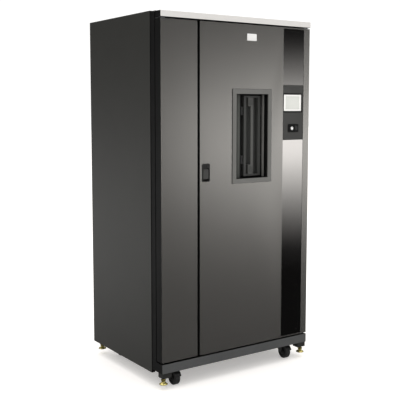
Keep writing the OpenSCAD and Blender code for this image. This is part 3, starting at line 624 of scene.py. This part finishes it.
# light bars standing in the well on both sides of the drawer
k.box(-17.0, -6.0, -352, -340, 1058, 1500, 1.2).box(-3.6, 13.5, -358, -341, 1058, 1500, 1.6)
k.box(16.5, 20.5, -350, -340, 1058, 1500, 0.8)
k.obj("port_guide_left", "main_door", "drawer_grey", mat=surface("bar_green_grey", (0.052, 0.055, 0.050), 0.42, grain=900, vary=0.08))
k = Kit()
k.box(175.2, 184.5, -352, -340, 1058, 1500, 1.2)
k.obj("port_guide_right", "main_door", "drawer_grey", mat=M["bezel_grey"])
# painted shade: the slides in the well take black so they read as dark as the shaded recess
o = refined("drawer_slides", 0.5, 2)
o.data.materials[0] = M["trim_black"]
refined("drawer_front", 1.2, 3)
o = refined("drawer_handle", 1.6, 3, weight=lambda m, d: 1.6)
o.data.materials[0] = surface("grip_grey", (0.074, 0.075, 0.071), 0.40, grain=1200, vary=0.06)
k = Kit()
for z in range(1086, 1118, 6):
    k.box(90.5, 120.5, -336.4, -335.6, z, z + 1.6, 0.3)
for z in range(1446, 1476, 6):
    k.box(90.5, 120.5, -336.4, -335.6, z, z + 1.6, 0.3)
k.obj("grip_ribs", "port_drawer", "drawer_grey", mat=M["trim_black"])

# painted light: a lighter plate at the back of the right grip channel brightens the magazine front that sits in shade
# there
k = Kit()
k.box(124.2, 152.3, -309.6, -308.3, 1075, 1483, 0.2)
k.obj("drawer_channel_painted_light", "port_drawer", "drawer_grey", mat=M["bezel_grey"])

# ------------------------------------------------------------------ operator panel
refined("panel_housing", 0.8, 2)
# painted highlight: a lighter strip along the panel's top edge stands in for the light caught by its rounded edge
k = Kit()
k.box(297.0, 441.5, -377.6, -376.2, 1549.6, 1551.2, 0.3)
k.obj("panel_top_painted_highlight", "main_door", "bezel_grey")
k = Kit()
k.box(295.4, 297.2, -377.2, -375.0, 1256, 1551, 0.3).box(440.6, 442.6, -377.2, -375.0, 1256, 1551, 0.3)
k.box(295.4, 442.6, -377.2, -375.0, 1253.6, 1256.4, 0.3)
k.obj("panel_shadow_lines", "main_door", "trim_black", mat=M["black_and_painted_gap_shade"])
lo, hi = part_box("lcd_bezel")
k = Kit()
fa, fb, fc, fd, fy = lo[0] * 1000, hi[0] * 1000, lo[2] * 1000, hi[2] * 1000, lo[1] * 1000
for a, b, c, d in ((fa, fa + 3.6, fc, fd), (fb - 6.6, fb, fc, fd), (fa + 3, fb - 6, fc, fc + 7.1), (fa + 3, fb - 6, fd - 6.1, fd)):
    k.box(a, b, fy, fy + 10, c, d, 0.8)
k.obj("screen_frame", "main_door", "trim_black", ("lcd_bezel",), mat=M["black_and_painted_gap_shade"])
lo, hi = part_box("lcd_screen")
x0, x1, z0, z1, yf = lo[0] * 1000, hi[0] * 1000, lo[2] * 1000, hi[2] * 1000, lo[1] * 1000
k = Kit()
k.box(x0 + 0.2, x1 - 0.2, yf + 0.4, yf + 5, z0 + 0.2, z1 - 0.2, 0.4)
k.obj("screen_glass", "main_door", "screen", ("lcd_screen",))
k = Kit()
for a, b, c, d in ((x0 + 0.2, x0 + 13, z0 + 0.2, z1 - 0.2), (x1 - 13, x1 - 0.2, z0 + 0.2, z1 - 0.2),
                   (x0 + 12, x1 - 12, z0 + 0.2, z0 + 9), (x0 + 12, x1 - 12, z1 - 9, z1 - 0.2)):
    k.box(a, b, yf - 0.5, yf + 1.2, c, d, 0.5)
k.obj("screen_surround", "main_door", "screen", mat=M["screen_rim"])
o = refined("key_plate", 1.0, 3)
o.data.materials[0] = M["black_and_painted_gap_shade"]
refined("key_core", 0.5, 3)
k = Kit()
k.lathe([(7.6, 0.0), (10.6, 0.0), (10.9, -0.8), (10.6, -1.5), (9.6, -1.8), (9.2, -1.2), (7.6, -1.2)], (359, -378.4, 1317), "y", 40)
k.obj("key_ring", "main_door", "lock_nickel", mat=M["dull_steel"])
refined("standby_button", 1.4, 3)
k = Kit()
for x in (301.5, 437.0):
    for z in (1263.0, 1544.0):
        k.pan_screw(x, -376.5, z, "y", -1, 2.4, 1.0)
k.obj("panel_screws", "main_door", "trim_black")

# ------------------------------------------------------------------ latch
refined("latch_dish", 1.2, 3)
refined("latch_paddle", 1.6, 3).data.materials[0] = M["panel_matte"]
o = refined("lock_cylinder", 0.7, 2)
o = refined("badge_plate", 1.0, 3)


# ------------------------------------------------------------------ running gear
def hood(x, y, wide=18.6):
    k = Kit()
    out, inn = arc(y, 38, 43.2, 18, 162, 22), arc(y, 38, 40.6, 162, 18, 22)
    k.prism(out + inn, x - wide, x + wide, "x")
    for s in (-1, 1):
        k.hexagon(x + s * 22.2, y, 38, "x", 13, s * 5.0, 0.7)
        k.lathe([(0, 0), (9.4, 0), (9.4, 1.0), (8.8, 1.5), (0, 1.5)] if s > 0 else [(0, 0), (9.4, 0), (9.4, -1.0), (8.8, -1.5), (0, -1.5)],
                (x + s * 22.1, y, 38), "x", 28)
    return k


for tag, s in (("fl", -1), ("fr", 1)):
    refined("castor_fork_" + tag, 0.8, 2)
    k = hood(s * 375, -317)
    k.lathe([(12, 96.3), (31, 96.3), (33, 94.8), (33, 91.6), (30, 90.2), (12, 90.2), (12, 96.3)], (s * 375, -277, 0), "z", 48)
    k.obj("castor_hood_" + tag, "swivel_" + tag, "castor_black")
for tag, s in (("rl", -1), ("rr", 1)):
    hood(s * 375, 250).obj("castor_hood_" + tag, "cabinet", "castor_black")
for tag, x, y in (("fl", -375, -317), ("fr", 375, -317), ("rl", -375, 250), ("rr", 375, 250)):
    node = "castor_wheel_" + tag
    o = refined(node, 1.2, 3)
    k = Kit()
    prof = [(30.0, -15.3), (34.3, -15.9), (37.2, -13.6), (38.0, -11.0)]
    for g in (-7.0, 0.0, 7.0):
        prof += [(38.0, g - 1.1), (37.4, g - 0.7), (37.4, g + 0.7), (38.0, g + 1.1)]
    prof += [(38.0, 11.0), (37.2, 13.6), (34.3, 15.9), (30.0, 15.3)]
    k.lathe(prof + [prof[0]], (x, y, 38), "x", 72)
    for i in range(5):
        a = 2 * math.pi * i / 5
        for sd in (-1, 1):
            k.lathe([(0, 0), (2.6, 0), (2.6, sd * 1.2), (0, sd * 1.6)], (x + sd * 11.0, y + 17.5 * math.cos(a), 38 + 17.5 * math.sin(a)), "x", 14)
    k.obj("castor_tread_" + tag, "wheel_" + tag, "castor_tread")

for tag, x, y in (("fl", -462, -353), ("fr", 462, -353), ("rl", -450, 346), ("rr", 450, 346)):
    k = Kit()
    prof = [(0, 28.0), (20.8, 28.0), (21.9, 28.8), (22.1, 30.2), (21.4, 31.6), (17.0, 34.6), (11.2, 38.2), (9.4, 40.4), (8.9, 42.4), (7.9, 43.2)]
    z = 43.4
    while z < 123.5:
        prof += [(7.95, z), (7.95, z + 0.4), (7.25, z + 1.15), (7.25, z + 1.4)]
        z += 2.2
    prof += [(7.6, 124.6), (6.4, 126.0), (0, 126.0)]
    k.lathe(prof, (x, y, 0), "z", 36)
    k.hexagon(x, y, 44.0, "z", 22.4, 8.0, 1.0)
    k.lathe([(7.9, 52.1), (12.6, 52.1), (12.6, 53.7), (7.9, 53.7), (7.9, 52.1)], (x, y, 0), "z", 30)
    k.obj("level_foot_" + tag, "level_" + tag, "yellow_zinc", ("foot_" + tag,), 30)

# ------------------------------------------------------------------ doors, inside faces
k = Kit()
for a, b in ((-249, 466 - 14), ):
    k.box(a, a + 9, -327.4, -323.6, 156, 1852, 1.2).box(b - 9, b, -327.4, -323.6, 184, 1824, 1.2)
    k.box(a, b, -327.4, -323.6, 156, 165, 1.2).box(a, b - 30, -327.4, -323.6, 1843, 1852, 1.2)
k.obj("main_door_seal", "main_door", "door_black", mat=M["castor_tread"])
k = Kit()
k.box(-278, -269 - 1, -327.4, -323.6, 156, 1852, 1.2).box(-452, -443, -327.4, -323.6, 184, 1824, 1.2)
k.box(-440, -270, -327.4, -323.6, 156, 165, 1.2).box(-420, -270, -327.4, -323.6, 1843, 1852, 1.2)
k.obj("side_leaf_seal", "side_leaf", "door_black", mat=M["castor_tread"])
k = Kit()
for z in range(200, 1840, 164):
    for x in (-236, -58, 226, 434):
        if not (1040 < z < 1540 and x in (-58, 226)) and not (1040 < z < 1160 and x == -236):
            k.pan_screw(x, -327.0, z, "y", 1, 3.6, 1.8)
k.obj("main_door_screws", "main_door", "door_black", mat=M["dull_steel"])
k = Kit()
for z in range(200, 1840, 164):
    for x in (-436, -288):
        k.pan_screw(x, -327.0, z, "y", 1, 3.6, 1.8)
k.obj("side_leaf_screws", "side_leaf", "door_black", mat=M["dull_steel"])

# ------------------------------------------------------------------ rear door
k = Kit()
for j in range(40):
    z = 260 + 38 * j
    for x in (-400, -130, 140):
        k.prism([(377.8, z + 18.6), (376.2, z + 18.6), (368.8, z + 1.5), (370.0, z + 0.6)], x - 0.5, x + 250.5, "x")
k.obj("rear_louvre_blades", "rear_leaf", "frame_black")
k = Kit()
k.box(-447, -405, 377.6, 379.4, 972, 1028, 0.7)
k.lathe([(12.2, 379.2), (17.5, 379.2), (17.5, 380.4), (16.4, 381.0), (12.2, 381.0), (12.2, 379.2)], (-426, 0, 1000), "y", 40)
for z in (979, 1021):
    for x in (-440, -412):
        k.pan_screw(x, 379.2, z, "y", 1, 2.6, 1.2)
k.obj("rear_latch_plate", "rear_leaf", "frame_black", mat=M["dull_steel"])
k = Kit()
for z in (200, 620, 1410, 1830):
    for x in (-446, 446):
        k.pan_screw(x, 377.9, z, "y", 1, 3.4, 1.6)
for z in (184, 1846):
    for x in (-300, -100, 100, 300):
        k.pan_screw(x, 377.9, z, "y", 1, 3.4, 1.6)
k.obj("rear_door_screws", "rear_leaf", "frame_black", mat=M["dull_steel"])

# ------------------------------------------------------------------ roof
k = Kit()
for x in (-470, -235, 0, 235, 470):
    for y in (-300, -150, 60, 330):
        k.pan_screw(max(-455, min(455, x)), y, 1901.4, "z", 1, 4.0, 1.8)
k.obj("roof_screws", "cabinet", "frame_black", mat=M["dull_steel"])

# ------------------------------------------------------------------ cartridges, drives, supplies
paper = surface("blank_label", (0.66, 0.66, 0.64), 0.62, vary=0.03, vary_scale=60, grain=1600, grain_strength=0.15)
COLX = (-90, 50, 195, 345)
k, hubs = Kit(), Kit()
for c, cx_ in enumerate(COLX):
    zb, n = (254, 46) if c < 2 else (1022, 22)
    for i in range(n):
        z = zb + 4.2 + 32 * i
        k.box(cx_ - 34, cx_ + 30, 55.6, 56.05, z + 2.8, z + 18.2)
        hubs.box(cx_ + 34, cx_ + 46, 55.4, 56.05, z + 4, z + 17)
for cx_ in COLX[2:]:
    for r in range(6):
        z = 194 + 2 + 136 * r + 68.25
        k.box(cx_ - 34, cx_ + 30, 55.6, 56.05, z + 2.8, z + 18.2)
        hubs.box(cx_ + 34, cx_ + 46, 55.4, 56.05, z + 4, z + 17)
k.obj("cartridge_labels", "cabinet", "cartridge_black", mat=paper)
hubs.obj("cartridge_grips", "cabinet", "cartridge_black", mat=M["cell_plastic"])
k = Kit()
for i in range(10):
    z = 1064 + 4.6 + 30 * i
    k.box(113.2 - 32, 113.2 + 32, -188.05, -187.6, z + 2.8, z + 18.2)
k.obj("drawer_labels", "port_drawer", "cartridge_black", mat=paper)

trim, led, fan, steel = Kit(), Kit(), Kit(), Kit()
for cx_ in COLX[2:]:
    for r in range(6):
        z = 196 + 136 * r
        for a, b, c, d in ((-60, -55, 60, 98), (55, 60, 60, 98), (-60, 60, 93, 98), (-60, 60, 60, 65)):
            trim.box(cx_ + a, cx_ + b, 75.6, 78.4, z + c, z + d, 0.6)
        for j in range(9):
            trim.box(cx_ - 60 + 13 * j, cx_ - 52 + 13 * j, 77.2, 78.3, z + 12, z + 46, 0.3)
        led.lathe([(0, 77.0), (2.0, 77.0), (2.2, 77.8), (2.2, 78.2), (0, 78.2)], (cx_ + 64, 0, z + 108), "y", 14)
        led.box(cx_ - 66, cx_ - 56, 77.2, 78.2, z + 106, z + 110, 0.3)
        for x in (-67, 67):
            for zz in (6, 122):
                steel.pan_screw(cx_ + x, 308.0, z + zz, "y", 1, 2.6, 1.3)
        for x in (-44, -22, 22, 44):
            steel.box(cx_ + x - 8, cx_ + x + 8, 304.6, 309.4, z + 58, z + 72, 0.6)
trim.obj("drive_face_trim", "cabinet", "drive_black", mat=M["frame_black"])
led.obj("drive_indicators", "cabinet", "drive_black", mat=surface("indicator_green", (0.05, 0.30, 0.10), 0.3, vary=0.05))
for i in range(4):
    z = 166 + 92 * i + 43
    for r in (30.5, 23.5, 16.5, 9.5):
        fan.lathe([(r - 0.8, 300.2), (r + 0.8, 300.2), (r + 0.8, 301.6), (r - 0.8, 301.6), (r - 0.8, 300.2)], (-360, 0, z), "y", 40)
    fan.box(-392, -328, 299.6, 300.8, z - 0.8, z + 0.8).box(-360.8, -359.2, 299.6, 300.8, z - 32, z + 32)
    for b in range(7):
        a = 2 * math.pi * b / 7
        m = Matrix.Translation((-360, 297.6, z)) @ Matrix.Rotation(a, 4, "Y") @ Matrix.Rotation(rad(28), 4, "Z")
        trim2 = Kit()
        steel.box(-3.2, 3.2, -0.4, 0.4, 9, 28, 0, 2, m)
    fan.lathe([(0, 296.4), (9, 296.4), (9, 299.0), (8, 299.6), (0, 299.6)], (-360, 0, z), "y", 28)
    for x in (-285, -278, -271):
        fan.box(x - 1, x + 1, 291, 297, z - (3 if x == -278 else -1), z + (3 if x != -278 else 1) + 2)
    for x in (-412, -172):
        for dz in (-38, 38):
            steel.pan_screw(x, 300.0, z + dz, "y", 1, 2.8, 1.4)
fan.obj("supply_fan_guards", "cabinet", "zinc_steel")
for i in range(6):
    x = -395 + 42 * i
    for z in (600, 650, 700, 750):
        steel.box(x - 7, x + 7, 298, 301.2, z, z + 22, 0.6)
    for z in (570, 890):
        steel.pan_screw(x, 300.0, z, "y", 1, 2.6, 1.3)
steel.obj("rear_connectors_and_screws", "cabinet", "zinc_steel", mat=M["dull_steel"])

# ------------------------------------------------------------------ robot
k = Kit()
for z0 in (153.4,):
    for y in (-99, -41):
        k.box(-396, 408, y + 3, y + 5, z0 - 12, z0 - 4)
for x in range(-390, 402, 9):
    k.box(x, x + 4.5, -36.2, -34.6, 141.6, 149.2)
k.obj("travel_belt", "cabinet", "trim_black", mat=M["castor_tread"])
k = Kit()
for x, zz in ((-404, 146), (414, 146)):
    k.lathe([(3, zz - 7), (11, zz - 7), (12.5, zz - 6.4), (12.5, zz - 5.4), (11, zz - 5), (11, zz + 5), (12.5, zz + 5.4), (12.5, zz + 6.4), (11, zz + 7), (3, zz + 7), (3, zz - 7)],
            (x, -66, 0), "z", 28)
for x in range(-380, 401, 60):
    k.lathe([(0, 0), (3.2, 0), (3.2, 1.2), (1.6, 1.4), (1.6, 0.7), (0, 0.7)], (x, -66, 152.0), "z", 16)
k.obj("belt_pulleys_and_rail_screws", "cabinet", "zinc_steel")
k = Kit()
pm, ya_ = -100, -66
for z in range(200, 1790, 9):
    k.box(pm - 34.6, pm - 32.8, ya_ - 3.4, ya_ + 3.4, z, z + 4.6)
k.box(pm - 35.2, pm - 34.4, ya_ - 3.6, ya_ + 3.6, 190, 1795)
k.obj("lift_belt", "mast", "trim_black", mat=M["castor_tread"])
k = Kit()
k.lathe([(0, -5.4), (21.0, -5.4), (21.6, -4.6), (21.6, 3), (20.4, 3.6), (0, 3.6)], (pm - 30, 22, 160), "y", 40)
for i in range(4):
    a = math.pi / 4 + i * math.pi / 2
    k.lathe([(0, 22.0), (2.2, 22.0), (2.2, 23.8), (1.0, 24.0), (0, 24.0)], (pm - 30 + 14 * math.cos(a), 0, 160 + 14 * math.sin(a)), "y", 14)
for z in (139, 181, 1803, 1845):
    for dx in (-46, 46):
        k.pan_screw(pm + dx, -96.0, z if z not in (139, 1845) else z + (4 if z == 139 else -4), "y", -1, 3.0, 1.6)
k.obj("truck_motor_cap_and_screws", "mast", "zinc_steel")
k = Kit()
ph = 945.95
for dz in (-58, -8, 44):
    for dx in (-37, 37):
        k.pan_screw(pm + dx, ya_ - 44, ph + dz, "y", -1, 3.0, 1.6)
        k.pan_screw(pm + dx, ya_ + 44, ph + dz, "y", 1, 3.0, 1.6)
k.obj("carriage_screws", "lift", "zinc_steel")
k = Kit()
for dx in (-50, -25, 25, 50):
    for dy in (-64, 44):
        k.lathe([(0, 0), (2.4, 0), (2.4, 0.9), (1.2, 1.0), (1.2, 0.5), (0, 0.5)], (50 + dx, ya_ + dy, ph - 21.0), "z", 14)
k.obj("picker_screws", "picker", "zinc_steel")


# ------------------------------------------------------------------ the rest of the CAD, with eased edges
EASE = {"storage_columns": 0.35, "tape_cartridges": 0.6, "drive_rack": 0.3, "tape_drives": 0.8, "power_supplies": 0.6}
DONE = {n for o in bpy.data.objects if "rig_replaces" in o for n in o["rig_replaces"]}
for node in sorted(NODES):
    if node not in DONE:
        refined(node, EASE.get(node, 0.5))


# ------------------------------------------------------------------ close
lo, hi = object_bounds()
